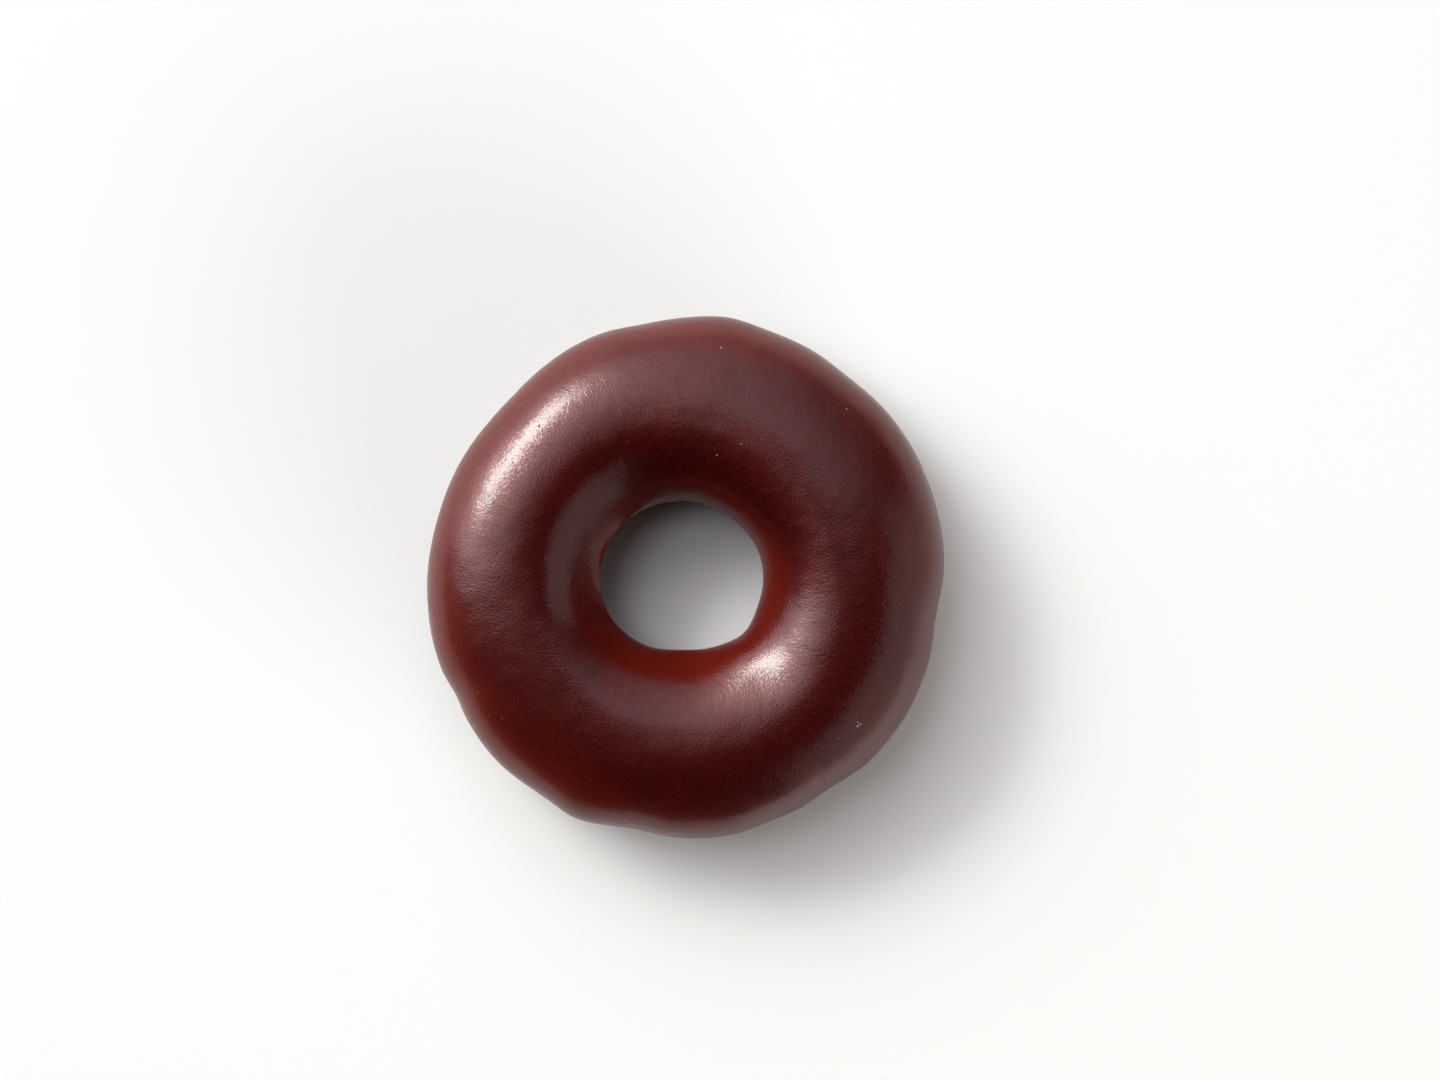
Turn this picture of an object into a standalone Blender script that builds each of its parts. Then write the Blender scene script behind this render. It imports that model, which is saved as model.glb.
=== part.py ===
"""A chocolate glazed ring doughnut, about 90 mm across and 26 mm high, lying flat.

It is one soft, slightly uneven ring: a raised dough ring coated all over with chocolate glaze.
Scene units are metres and +Z is up. The origin is at the centre of the base of its box.
Azimuths are in degrees, turning from +X towards +Y. A tube angle goes round the ring's section:
0 at the outer rim, 90 at the top ridge, 180 at the wall of the hole, 270 underneath.
"""

import math

import bpy
from mathutils import Vector

MM = 0.001

# Driving dimensions
RIM_RADIUS = 45.35 * MM
HOLE_CENTRE = Vector((-0.7, 0.15, 0.0)) * MM
HOLE_HALF_WIDTH = 14.1 * MM
HOLE_HALF_DEPTH = 13.25 * MM
# The ridge, the highest line, is a slightly oval ring of its own, nearer the hole at the upper right
RIDGE_CENTRE = Vector((-0.9, -0.8, 0.0)) * MM
RIDGE_RADIUS = 28.0 * MM
RIDGE_OVAL = 1.1 * MM
RIDGE_OVAL_AZIMUTH = 134
# The ridge leans: it is highest at the upper right, and a little higher along X than along Y
HEIGHT = 25.5 * MM
RIDGE_LEAN = 0.9 * MM
RIDGE_LEAN_AZIMUTH = 52
RIDGE_SADDLE = 0.25 * MM
KEEL_RADIUS = 29.0 * MM
EQUATOR_HEIGHT = 13.0 * MM
BASE_SQUASH = 1.6 * MM
BASE_ROUNDING = 0.45 * MM
# In roundings: how deep the round section must lie to be cut level, and how high to be left as it is
BASE_CUT = 2.0
BASE_STRAIGHT = 30.0

# How much wider and lower than an ellipse the outer shoulder is, and how much lower the hole's side is
SHOULDER_FULLNESS = 0.10
SHOULDER_DROP = 0.08
HOLE_SIDE_DROP = 0.3
# How fast the rim's swells die out towards the ridge
SWELL_FADE = 1.5

# The uneven rim: azimuth of each swell, how far it stands out (minus is a dip), its half-width in degrees
RIM_SWELLS = (
    (32, 0.30 * MM, 16),
    (51, -0.25 * MM, 7),
    (64, 0.15 * MM, 8),
    (81, 0.75 * MM, 8),
    (100, -0.35 * MM, 6),
    (136, -1.40 * MM, 17),
    (162, -0.70 * MM, 16),
    (198, 0.25 * MM, 12),
    (207, -0.45 * MM, 4),
    (224, 0.60 * MM, 10),
    (245, 0.80 * MM, 6),
    (259, -0.60 * MM, 6),
    (277, 0.25 * MM, 8),
    (291, -0.45 * MM, 6),
    (304, -0.85 * MM, 7),
    (336, -0.20 * MM, 5),
    (351, -1.10 * MM, 9),
)

# The uneven hole, in the same way: a plus widens the hole
HOLE_SWELLS = (
    (48, -0.35 * MM, 20),
    (205, 0.25 * MM, 22),
    (270, -0.65 * MM, 20),
    (318, 0.75 * MM, 14),
)

# The uneven side of the hole: how much more, or less, it drops than elsewhere
DROP_SWELLS = (
    (50, -0.25, 40),
    (160, 0.45, 42),
    (210, 0.35, 45),
    (272, 0.30, 18),
    (312, -0.35, 18),
)

# The uneven neck, the narrowest line of the hole: how far it lies above the outer rim's widest line
NECK_SWELLS = ((158, 5.0 * MM, 48),)

# Soft lumps and dimples: azimuth, tube angle, height (minus is a dimple), radius
LUMPS = (
    (143, 55, -0.45 * MM, 9.0 * MM),
    (313, 118, -0.18 * MM, 5.0 * MM),
    (40, 45, -0.15 * MM, 6.0 * MM),
    (205, 40, -0.15 * MM, 5.0 * MM),
    (240, 30, 0.15 * MM, 5.0 * MM),
    (344, 24, -0.20 * MM, 6.0 * MM),
)

# Points round the ring and round its section
RING_POINTS = 104
SECTION_POINTS = 40

GLAZE_COLOUR = (0.055, 0.006, 0.004, 1.0)
GLAZE_ROUGHNESS = 0.3
COAT_ROUGHNESS = 0.15


def clear_scene():
    """Removes whatever the scene holds."""
    for thing in list(bpy.data.objects):
        bpy.data.objects.remove(thing)


def swell_at(azimuth, swells):
    """The sum of the swells' heights at an azimuth in degrees."""
    total = 0.0
    for centre, height, half_width in swells:
        turn = (azimuth - centre + 180.0) % 360.0 - 180.0
        total += height * math.exp(-((turn / half_width) ** 2))
    return total


def direction(azimuth):
    """The level unit vector at an azimuth in degrees."""
    a = math.radians(azimuth)
    return Vector((math.cos(a), math.sin(a), 0.0))


def hole_radius(azimuth):
    """How far the hole's wall lies from the hole's centre."""
    a = math.radians(azimuth)
    across = HOLE_HALF_DEPTH * math.cos(a)
    along = HOLE_HALF_WIDTH * math.sin(a)
    ellipse = HOLE_HALF_WIDTH * HOLE_HALF_DEPTH / math.hypot(across, along)
    return ellipse + swell_at(azimuth, HOLE_SWELLS)


def ridge_line(azimuth):
    """The ridge's place over the ground at an azimuth."""
    outward = direction(azimuth)
    oval = RIDGE_OVAL * math.cos(2.0 * math.radians(azimuth - RIDGE_OVAL_AZIMUTH))
    return RIDGE_CENTRE + outward * (RIDGE_RADIUS + oval)


def ridge_height(azimuth):
    """The ridge's height at an azimuth."""
    lean = RIDGE_LEAN * math.cos(math.radians(azimuth - RIDGE_LEAN_AZIMUTH))
    saddle = RIDGE_SADDLE * math.cos(2.0 * math.radians(azimuth))
    return HEIGHT + lean + saddle


def section_point(azimuth, tube):
    """The ring's surface at an azimuth and a tube angle, before the base is flattened."""
    outward = direction(azimuth)
    across = math.cos(math.radians(tube))
    up = math.sin(math.radians(tube))
    if across > 0:
        edge = outward * (RIM_RADIUS + swell_at(azimuth, RIM_SWELLS) * across**SWELL_FADE)
        reach = across * (1.0 + SHOULDER_FULLNESS * up**2)
        lost = SHOULDER_DROP * across**2
        middle = EQUATOR_HEIGHT
    else:
        edge = HOLE_CENTRE + outward * hole_radius(azimuth)
        reach = -across
        lost = (HOLE_SIDE_DROP + swell_at(azimuth, DROP_SWELLS)) * across**4
        middle = EQUATOR_HEIGHT + swell_at(azimuth, NECK_SWELLS) * across**2
    if up > 0:
        point = ridge_line(azimuth).lerp(edge, reach)
        point.z = middle + (ridge_height(azimuth) - middle) * up * (1.0 - lost)
    else:
        point = (outward * KEEL_RADIUS).lerp(edge, reach)
        point.z = middle + (middle + BASE_SQUASH) * up
    return point


def tube_centre(azimuth):
    """The middle of the ring's section at an azimuth."""
    return ridge_line(azimuth) + Vector((0.0, 0.0, EQUATOR_HEIGHT))


def add_lumps(point, azimuth, lumps):
    """Moves a surface point out or in by the lumps near it."""
    away = (point - tube_centre(azimuth)).normalized()
    height = 0.0
    for place, centre, radius in lumps:
        height += centre * math.exp(-((point - place).length / radius) ** 2)
    return point + away * height


def rest_on_base(height):
    """Flattens what would sink below the base, with a small rounding where it leaves the base."""
    steepness = height / BASE_ROUNDING
    lifted = BASE_ROUNDING * math.log1p(math.exp(steepness)) if steepness < BASE_STRAIGHT else height
    least = BASE_ROUNDING * math.log1p(math.exp(-BASE_CUT))
    return max(0.0, lifted - least)


def shape_ring(mesh, major_radius):
    """Turns an even torus into the doughnut, point by point."""
    lumps = [(section_point(a, t), height, radius) for a, t, height, radius in LUMPS]
    for vertex in mesh.vertices:
        x, y, z = vertex.co
        azimuth = math.degrees(math.atan2(y, x)) % 360.0
        tube = math.degrees(math.atan2(z, math.hypot(x, y) - major_radius)) % 360.0
        point = add_lumps(section_point(azimuth, tube), azimuth, lumps)
        point.z = rest_on_base(point.z)
        vertex.co = point


def centre_on_box(mesh):
    """Puts the middle of the mesh's box over the origin."""
    for axis in (0, 1):
        values = [vertex.co[axis] for vertex in mesh.vertices]
        middle = (min(values) + max(values)) / 2
        for vertex in mesh.vertices:
            vertex.co[axis] -= middle


def glaze_material():
    """Dark, red-brown chocolate glaze with a smooth sugar coat."""
    material = bpy.data.materials.new("chocolate_glaze")
    material.use_nodes = True
    shader = material.node_tree.nodes["Principled BSDF"]
    shader.inputs["Base Color"].default_value = GLAZE_COLOUR
    shader.inputs["Metallic"].default_value = 0.0
    shader.inputs["Roughness"].default_value = GLAZE_ROUGHNESS
    shader.inputs["Coat Weight"].default_value = 0.3
    shader.inputs["Coat Roughness"].default_value = COAT_ROUGHNESS
    return material


def make_doughnut(collection):
    """The glazed ring, from a torus primitive of the same topology."""
    section_radius = (RIM_RADIUS - RIDGE_RADIUS) / 2
    bpy.ops.mesh.primitive_torus_add(
        major_segments=RING_POINTS,
        minor_segments=SECTION_POINTS,
        major_radius=RIDGE_RADIUS,
        minor_radius=section_radius,
    )
    doughnut = bpy.context.object
    doughnut.name = "doughnut"
    doughnut.data.name = "doughnut"
    shape_ring(doughnut.data, RIDGE_RADIUS)
    centre_on_box(doughnut.data)
    doughnut.data.shade_smooth()
    doughnut.data.materials.append(glaze_material())
    for home in list(doughnut.users_collection):
        home.objects.unlink(doughnut)
    collection.objects.link(doughnut)
    return doughnut


def main():
    """Builds the doughnut in a collection of its own."""
    clear_scene()
    collection = bpy.data.collections.new("chocolate glazed doughnut")
    bpy.context.scene.collection.children.link(collection)
    make_doughnut(collection)


main()
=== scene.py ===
"""A ring doughnut coated in dark chocolate glaze, lying on a pale table top in soft studio light.

The glazed ring is grown by Geometry Nodes from its own sizes, and takes the place of the plain solid.
Sugar crystals lie on the glaze, with a few single specks of painted glint and painted shade. Lengths are
in metres and angles in degrees.
"""

import logging
import math
from collections.abc import Sequence
from dataclasses import dataclass, field, fields
from enum import Enum
from typing import ClassVar

import bmesh
import bpy
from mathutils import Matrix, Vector


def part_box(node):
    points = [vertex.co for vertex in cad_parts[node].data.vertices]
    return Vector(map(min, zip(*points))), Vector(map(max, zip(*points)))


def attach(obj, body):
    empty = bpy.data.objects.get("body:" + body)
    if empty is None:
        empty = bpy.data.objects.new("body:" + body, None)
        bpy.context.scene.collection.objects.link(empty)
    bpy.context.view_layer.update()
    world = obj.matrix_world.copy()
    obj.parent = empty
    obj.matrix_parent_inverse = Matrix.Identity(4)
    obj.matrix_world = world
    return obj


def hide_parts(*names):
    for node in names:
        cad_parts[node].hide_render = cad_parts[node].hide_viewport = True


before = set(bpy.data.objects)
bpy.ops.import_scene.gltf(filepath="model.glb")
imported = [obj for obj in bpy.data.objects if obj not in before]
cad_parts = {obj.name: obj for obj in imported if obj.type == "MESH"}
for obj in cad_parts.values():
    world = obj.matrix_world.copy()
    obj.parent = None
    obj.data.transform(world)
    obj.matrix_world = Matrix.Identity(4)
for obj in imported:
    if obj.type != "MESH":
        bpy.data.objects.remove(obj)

LOG = logging.getLogger("doughnut")
MM = 0.001
HALF_TURN = 180.0
NOISE_MEAN = 0.5
BODY = "root"
NODE = "doughnut"

Rgb = tuple[float, float, float]
Inputs = dict[str | int, object]


class Tone(Enum):
    """Which a single speck on the glaze is: a pale painted glint on a burst bubble's rim, or dark painted
    shade in a burst bubble's pit.
    """

    PALE = "pale"
    DARK = "dark"


@dataclass(frozen=True)
class Flow:
    """A value that flows through a node tree: arithmetic on it adds math nodes."""

    desk: "NodeDesk"
    socket: bpy.types.NodeSocket

    def __add__(self, other: "Flow | float") -> "Flow":
        """Adds."""
        return self.desk.math("ADD", self, other)

    def __sub__(self, other: "Flow | float") -> "Flow":
        """Subtracts."""
        return self.desk.math("SUBTRACT", self, other)

    def __rsub__(self, other: float) -> "Flow":
        """Subtracts this from a plain number."""
        return self.desk.math("SUBTRACT", other, self)

    def __mul__(self, other: "Flow | float") -> "Flow":
        """Multiplies."""
        return self.desk.math("MULTIPLY", self, other)

    def __truediv__(self, other: "Flow | float") -> "Flow":
        """Divides."""
        return self.desk.math("DIVIDE", self, other)

    def clamped(self) -> "Flow":
        """Keeps the number between 0 and 1."""
        return self.desk.math("ADD", self, 0.0, clamp=True)


@dataclass
class NodeDesk:
    """Lays nodes in one tree and wires them."""

    tree: bpy.types.NodeTree

    def add(self, kind: str, inputs: Inputs | None = None, **settings: object) -> bpy.types.Node:
        """Adds a node.

        Args:
            kind: The node's Blender type.
            inputs: What goes into it, by the input's name or number.
            settings: Properties to set on it.

        Returns:
            The new node.
        """
        node = self.tree.nodes.new(kind)
        for name, value in settings.items():
            setattr(node, name, value)
        self.feed(node, inputs or {})
        return node

    def feed(self, node: bpy.types.Node, inputs: Inputs) -> None:
        """Wires flows and sockets into a node, and sets plain values on it.

        Args:
            node: The node.
            inputs: What goes into it, by the input's name or number.
        """
        for name, value in inputs.items():
            if isinstance(value, Flow):
                value = value.socket
            if isinstance(value, bpy.types.NodeSocket):
                self.tree.links.new(value, node.inputs[name])
            else:
                node.inputs[name].default_value = value

    def math(self, operation: str, *operands: object, clamp: bool = False) -> Flow:
        """Adds a math node.

        Args:
            operation: The node's operation.
            operands: What goes in, in order.
            clamp: Whether the result stays between 0 and 1.

        Returns:
            The result.
        """
        inputs = dict(enumerate(operands))
        node = self.add("ShaderNodeMath", inputs, operation=operation, use_clamp=clamp)
        return Flow(self, node.outputs[0])

    def vector(self, operation: str, inputs: Inputs) -> bpy.types.NodeSocket:
        """Adds a vector math node and gives its vector."""
        return self.add("ShaderNodeVectorMath", inputs, operation=operation).outputs[0]

    def group(self, tree: bpy.types.NodeTree, **values: object) -> Flow:
        """Adds a node group.

        Args:
            tree: The group to use.
            values: Its inputs by name, with underscores for spaces.

        Returns:
            The group's one output.
        """
        node = self.add("GeometryNodeGroup", node_tree=tree)
        self.feed(node, {name.replace("_", " "): value for name, value in values.items()})
        return Flow(self, node.outputs[0])

    def split(self, vector: object) -> tuple[Flow, Flow, Flow]:
        """Splits a vector into its three numbers."""
        node = self.add("ShaderNodeSeparateXYZ", {0: vector})
        return Flow(self, node.outputs[0]), Flow(self, node.outputs[1]), Flow(self, node.outputs[2])

    def join(self, x: object, y: object, z: object) -> bpy.types.NodeSocket:
        """Joins three numbers into a vector."""
        return self.add("ShaderNodeCombineXYZ", {0: x, 1: y, 2: z}).outputs[0]

    def zero(self) -> Flow:
        """A flow of 0, for others to be added to."""
        return Flow(self, self.add("ShaderNodeValue").outputs[0])

    def reach(self, across: Flow, up: Flow) -> Flow:
        """How far a point lies from the origin of its plane."""
        return self.math("SQRT", across * across + up * up)

    def angle(self, across: Flow, up: Flow) -> Flow:
        """The angle of a point about the origin of its plane, turning from across towards up."""
        return self.math("DEGREES", self.math("ARCTAN2", up, across))

    def turn_from(self, angle: Flow, centre: "Flow | float") -> Flow:
        """How far an angle lies from another, the short way round."""
        return self.math("WRAP", angle - centre, HALF_TURN, -HALF_TURN)

    def smooth(self, value: object, low: object, high: object) -> Flow:
        """Adds a smooth step.

        Args:
            value: What it is read at.
            low: Where it begins, at 0.
            high: Where it ends, at 1.

        Returns:
            The step.
        """
        node = self.add("ShaderNodeMapRange", {0: value, 1: low, 2: high})
        node.interpolation_type = "SMOOTHSTEP"
        return Flow(self, node.outputs[0])

    def mix(self, share: object, first: object, second: object) -> bpy.types.NodeSocket:
        """Mixes two colours: the first where the share is 0, the second where it is 1."""
        node = self.add("ShaderNodeMix", data_type="RGBA")
        self.feed(node, {"Factor": share, "A": first, "B": second})
        return node.outputs["Result"]

    def choose(self, test: Flow, yes: object, no: object) -> Flow:
        """Gives one number where a test is above zero, and another elsewhere.

        Args:
            test: The test.
            yes: The number where it is above zero.
            no: The number elsewhere.

        Returns:
            The chosen number.
        """
        above = self.add("FunctionNodeCompare", data_type="FLOAT", operation="GREATER_THAN")
        self.feed(above, {0: test, 1: 0.0})
        node = self.add("GeometryNodeSwitch", input_type="FLOAT")
        self.feed(node, {"Switch": above.outputs[0], "True": yes, "False": no})
        return Flow(self, node.outputs[0])

    def noise(
        self,
        at: object,
        size: "Flow | float",
        detail: float = 2.0,
        roughness: float = 0.5,
        distortion: float = 0.0,
        fourth: object = None,
    ) -> Flow:
        """Adds a noise texture whose features are about a size wide.

        Args:
            at: Where it is read.
            size: The width of one feature.
            detail: How many finer layers it has.
            roughness: How strong they are.
            distortion: How much it is bent.
            fourth: Where it is read along a fourth axis, if it has one.

        Returns:
            The noise, about 0.5 on average.
        """
        scale = self.math("DIVIDE", 1.0, size) if isinstance(size, Flow) else 1.0 / size
        inputs = {"Scale": scale, "Detail": detail, "Roughness": roughness, "Distortion": distortion}
        node = self.add("ShaderNodeTexNoise", noise_dimensions="3D" if fourth is None else "4D")
        self.feed(node, inputs | {"Vector": at} | ({} if fourth is None else {"W": fourth}))
        return Flow(self, node.outputs[0])

    def move(self, geometry: object, **where: object) -> bpy.types.NodeSocket:
        """Moves each point of a geometry to its Position, or by its Offset."""
        return self.add("GeometryNodeSetPosition", {"Geometry": geometry} | where).outputs[0]

    def given(self) -> dict[str, Flow]:
        """The tree's inputs by name."""
        return {out.name: Flow(self, out) for out in self.add("NodeGroupInput").outputs if out.name}

    def end_with(self, result: object) -> bpy.types.NodeTree:
        """Ends the tree with its one result."""
        self.add("NodeGroupOutput", {0: result})
        return self.tree

    def dress(self, geometry: object, material: object) -> bpy.types.NodeTree:
        """Ends a geometry tree: makes its instances real and gives them a material."""
        real = self.add("GeometryNodeRealizeInstances", {0: geometry}).outputs[0]
        dressed = self.add("GeometryNodeSetMaterial", {"Geometry": real, "Material": material})
        return self.end_with(dressed.outputs[0])


@dataclass(frozen=True)
class Swell:
    """A swelling or a dip along the ring.

    Attributes:
        azimuth: Where it is, turning from +X towards +Y.
        height: How far it stands out; minus is a dip.
        half_width: How wide it is to either side.
    """

    azimuth: float
    height: float
    half_width: float


@dataclass(frozen=True)
class Lump:
    """A soft lump or dimple on the ring's side.

    Attributes:
        azimuth: Where it is round the ring.
        tube: Where it is round the section.
        height: How far it stands out; minus is a dimple.
        radius: How wide it is.
    """

    azimuth: float
    tube: float
    height: float
    radius: float


def kind_of(value: object) -> str | None:
    """The kind of tree input that takes a value.

    Args:
        value: The value.

    Returns:
        The kind's name, or nothing if no kind takes it.
    """
    if isinstance(value, tuple):
        return "Vector" if value and isinstance(value[0], float) else None
    kinds = {float: "Float", int: "Int", bpy.types.Material: "Material", bpy.types.Object: "Object"}
    return next((kind for sort, kind in kinds.items() if isinstance(value, sort)), None)


def sizes_of(part: object) -> dict[str, object]:
    """A part's own sizes as a tree's inputs, so that rim_radius becomes Rim Radius."""
    held = {size.name: getattr(part, size.name) for size in fields(part)}
    return {name.replace("_", " ").title(): value for name, value in held.items() if kind_of(value)}


def start_tree(name: str, result: str, kinds: dict[str, str]) -> NodeDesk:
    """Starts a node tree.

    Args:
        name: The tree's name.
        result: The kind of its one output.
        kinds: The kind of each input by its name.

    Returns:
        A desk on the new tree.
    """
    tree = bpy.data.node_groups.new(name, "GeometryNodeTree")
    for given, kind in kinds.items():
        tree.interface.new_socket(given, in_out="INPUT", socket_type=f"NodeSocket{kind}")
    tree.interface.new_socket("Result", in_out="OUTPUT", socket_type=f"NodeSocket{result}")
    return NodeDesk(tree)


def number_tree(name: str, *inputs: str) -> NodeDesk:
    """Starts a node group that works one number out from others."""
    return start_tree(name, "Float", dict.fromkeys(inputs, "Float"))


def geometry_tree(name: str, values: dict[str, object]) -> NodeDesk:
    """Starts a geometry tree with a geometry input, and one for each value."""
    kinds = {given: kind_of(value) for given, value in values.items()}
    return start_tree(name, "Geometry", {"Geometry": "Geometry"} | kinds)


def new_material(name: str) -> tuple[bpy.types.Material, NodeDesk, bpy.types.Node]:
    """Makes a material.

    Args:
        name: Its name.

    Returns:
        The material, its desk and its shader.
    """
    material = bpy.data.materials.new(name)
    material.use_nodes = True
    return material, NodeDesk(material.node_tree), material.node_tree.nodes["Principled BSDF"]


def grow(
    tree: bpy.types.NodeTree,
    name: str,
    inputs: dict[str, object],
    host: bpy.types.Mesh | None = None,
) -> bpy.types.Object:
    """Runs a geometry tree and keeps its result as a plain mesh.

    Args:
        tree: The Geometry Nodes tree.
        name: The new object's name.
        inputs: The tree's inputs by name.
        host: The mesh that it starts from, if it needs one.

    Returns:
        A new object at the origin with a plain mesh and no modifiers.
    """
    seedling = bpy.data.objects.new(f"{name}_seedling", host or bpy.data.meshes.new(f"{name}_seedling"))
    bpy.context.scene.collection.objects.link(seedling)
    modifier = seedling.modifiers.new("grow", "NODES")
    modifier.node_group = tree
    for item in tree.interface.items_tree:
        if item.item_type == "SOCKET" and item.in_out == "INPUT" and item.name in inputs:
            modifier[item.identifier] = inputs[item.name]
    evaluated = seedling.evaluated_get(bpy.context.evaluated_depsgraph_get())
    mesh = bpy.data.meshes.new_from_object(evaluated)
    mesh.name = name
    bpy.data.objects.remove(seedling)
    grown = bpy.data.objects.new(name, mesh)
    bpy.context.scene.collection.objects.link(grown)
    return grown


def fit_to_root(piece: bpy.types.Object, *replaced: str) -> bpy.types.Object:
    """Rides a piece on the object's one body, hides the solids whose place it takes and reports it.

    Args:
        piece: The piece.
        replaced: The names of the solids whose place it takes.

    Returns:
        The piece.
    """
    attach(piece, BODY)
    if replaced:
        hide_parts(*replaced)
    LOG.info("%s: %d faces", piece.name, len(piece.data.polygons))
    return piece


@dataclass(frozen=True)
class GlazeFinish:
    """Dark red-brown chocolate glaze: a satin body under a thin glossy skin with fine sugar grain, and
    painted sheen lower down the sides.

    Attributes:
        deep: Colour where the glaze is thick in patches, and on top, above the painted sheen.
        thin: Colour where it is thin in patches, and the colour of the painted sheen lower down the
            sides.
        painted_sheen_below: The height below which the sides are wholly painted paler and redder, as
            painted sheen.
        no_painted_sheen_above: The height above which there is no painted sheen.
        patch: How wide the patches of thicker and thinner glaze are.
        patchiness: How much they differ.
        body_roughness: How blurred the body's own shine is.
        body_shine: How strong it is.
        body_ior: How strongly the body bends light.
        cloud: How wide its duller and glossier clouds are.
        cloudiness: How much they differ.
        skin_roughness: How blurred the skin's shine is.
        skin: How much skin there is over the body.
        skin_ior: How strongly it bends light.
        bloom: Colour of the body's own shine.
        hair_width: Width of the fine strands that run down the ring's sides, at the ridge.
        hair_length: Their length.
        hair_tilt: How much the strands lean up and down, where the surface faces up.
        hair_fade: How fast that fades as the surface turns aside.
        hair_curl: How much they are bent.
        grain: Width of one sugar grain.
        grain_height: How far the grain stands up.
        speckle: How much the grain's colour varies.
        sugar: Colour of the fine sugar that shows through the glaze.
        sugar_size: Width of one such grain.
        sugar_share: How much of it shows, as a share.
        sugar_band: The noise where a grain begins, and where it is whole.
        ridge_radius: The ring's radius, which the strands run across.
        section_radius: The radius of the ring's section.
        section_height: The height of the middle of the section.
    """

    deep: Rgb = (0.021, 0.0003, 0.0006)
    thin: Rgb = (0.069, 0.0035, 0.0012)
    painted_sheen_below: float = 18.5 * MM
    no_painted_sheen_above: float = 24.5 * MM
    patch: float = 9.0 * MM
    patchiness: float = 0.8
    body_roughness: float = 0.42
    body_shine: float = 0.40
    body_ior: float = 1.5
    cloud: float = 3.0 * MM
    cloudiness: float = 0.1
    skin_roughness: float = 0.21
    skin: float = 0.36
    skin_ior: float = 1.8
    bloom: Rgb = (1.0, 0.13, 0.07)
    hair_width: float = 0.30 * MM
    hair_length: float = 1.0 * MM
    hair_tilt: float = 0.9
    hair_fade: float = 8.0
    hair_curl: float = 0.4
    grain: float = 0.38 * MM
    grain_height: float = 0.032 * MM
    speckle: float = 0.9
    sugar: Rgb = (0.085, 0.0075, 0.0035)
    sugar_size: float = 0.27 * MM
    sugar_share: float = 0.5
    sugar_band: tuple[float, float] = (0.6, 0.74)
    ridge_radius: float = 28.0 * MM
    section_radius: float = 15.0 * MM
    section_height: float = 13.0 * MM

    def material(self) -> bpy.types.Material:
        """Makes the glaze's material."""
        material, desk, shader = new_material("chocolate_glaze")
        at = desk.add("ShaderNodeTexCoord").outputs["Object"]
        dullness = desk.noise(at, self.cloud, detail=4.0, roughness=0.6) - NOISE_MEAN
        grained = self.grained(desk, at)
        inputs = {
            "Base Color": self.colour(desk, at),
            "Roughness": dullness * self.cloudiness + self.body_roughness,
            "Normal": grained,
            "Coat Normal": self.stranded(desk, at, grained),
            "Metallic": 0.0,
            "IOR": self.body_ior,
            "Specular IOR Level": self.body_shine,
            "Specular Tint": (*self.bloom, 1.0),
            "Coat Weight": self.skin,
            "Coat Roughness": self.skin_roughness,
            "Coat IOR": self.skin_ior,
        }
        desk.feed(shader, inputs)
        return material

    def colour(self, desk: NodeDesk, at: bpy.types.NodeSocket) -> bpy.types.NodeSocket:
        """The glaze's colour: deep and thin in patches, painted paler and redder lower down the sides as
        painted sheen, and sugared.

        Args:
            desk: The material's desk.
            at: Where it is read.

        Returns:
            The colour.
        """
        _, _, height = desk.split(at)
        patches = (desk.noise(at, self.patch, detail=3.0, roughness=0.55) - NOISE_MEAN) * self.patchiness
        speckle = (desk.noise(at, self.grain, detail=1.0) - NOISE_MEAN) * self.speckle
        # Painted sheen: the glaze is painted paler and redder lower down the sides, for the light that
        # the steep sides catch.
        painted_sheen = desk.smooth(height, self.no_painted_sheen_above, self.painted_sheen_below)
        sheen_and_patches = (painted_sheen + patches + speckle).clamped()
        glaze = desk.mix(sheen_and_patches, (*self.deep, 1.0), (*self.thin, 1.0))
        grains = desk.smooth(desk.noise(at, self.sugar_size, detail=0.0), *self.sugar_band)
        return desk.mix(grains * self.sugar_share, glaze, (*self.sugar, 1.0))

    def strands(self, desk: NodeDesk, at: bpy.types.NodeSocket) -> Flow:
        """Fine strands that run down the ring's sides from its ridge, as a noise drawn out that way.

        Args:
            desk: The material's desk.
            at: Where they are read.

        Returns:
            Their lean, about 0.5 on average.
        """
        x, y, z = desk.split(at)
        level = desk.reach(x, y)
        out, up = level - self.ridge_radius, z - self.section_height
        away = desk.reach(out, up)
        round_ring = self.ridge_radius / self.hair_width
        round_section = self.section_radius / self.hair_length
        place = desk.join(x / level * round_ring, y / level * round_ring, out / away * round_section)
        fourth = up / away * round_section
        return desk.noise(place, 1.0, detail=1.0, distortion=self.hair_curl, fourth=fourth)

    def grained(self, desk: NodeDesk, at: bpy.types.NodeSocket) -> bpy.types.NodeSocket:
        """The normal with the sugar grain's fine bumps."""
        height = desk.noise(at, self.grain, detail=1.0, roughness=0.4)
        return desk.add("ShaderNodeBump", {"Distance": self.grain_height, "Height": height}).outputs[0]

    def stranded(
        self, desk: NodeDesk, at: bpy.types.NodeSocket, normal: bpy.types.NodeSocket
    ) -> bpy.types.NodeSocket:
        """Adds the skin's strands to a normal.

        Args:
            desk: The material's desk.
            at: Where the strands are read.
            normal: The normal without them.

        Returns:
            The normal with them.
        """
        _, _, facing_up = desk.split(normal)
        fade = desk.math("POWER", facing_up, self.hair_fade) * self.hair_tilt
        lean = desk.join(0.0, 0.0, (self.strands(desk, at) - NOISE_MEAN) * fade)
        return desk.vector("NORMALIZE", {0: desk.vector("ADD", {0: normal, 1: lean})})


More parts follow.
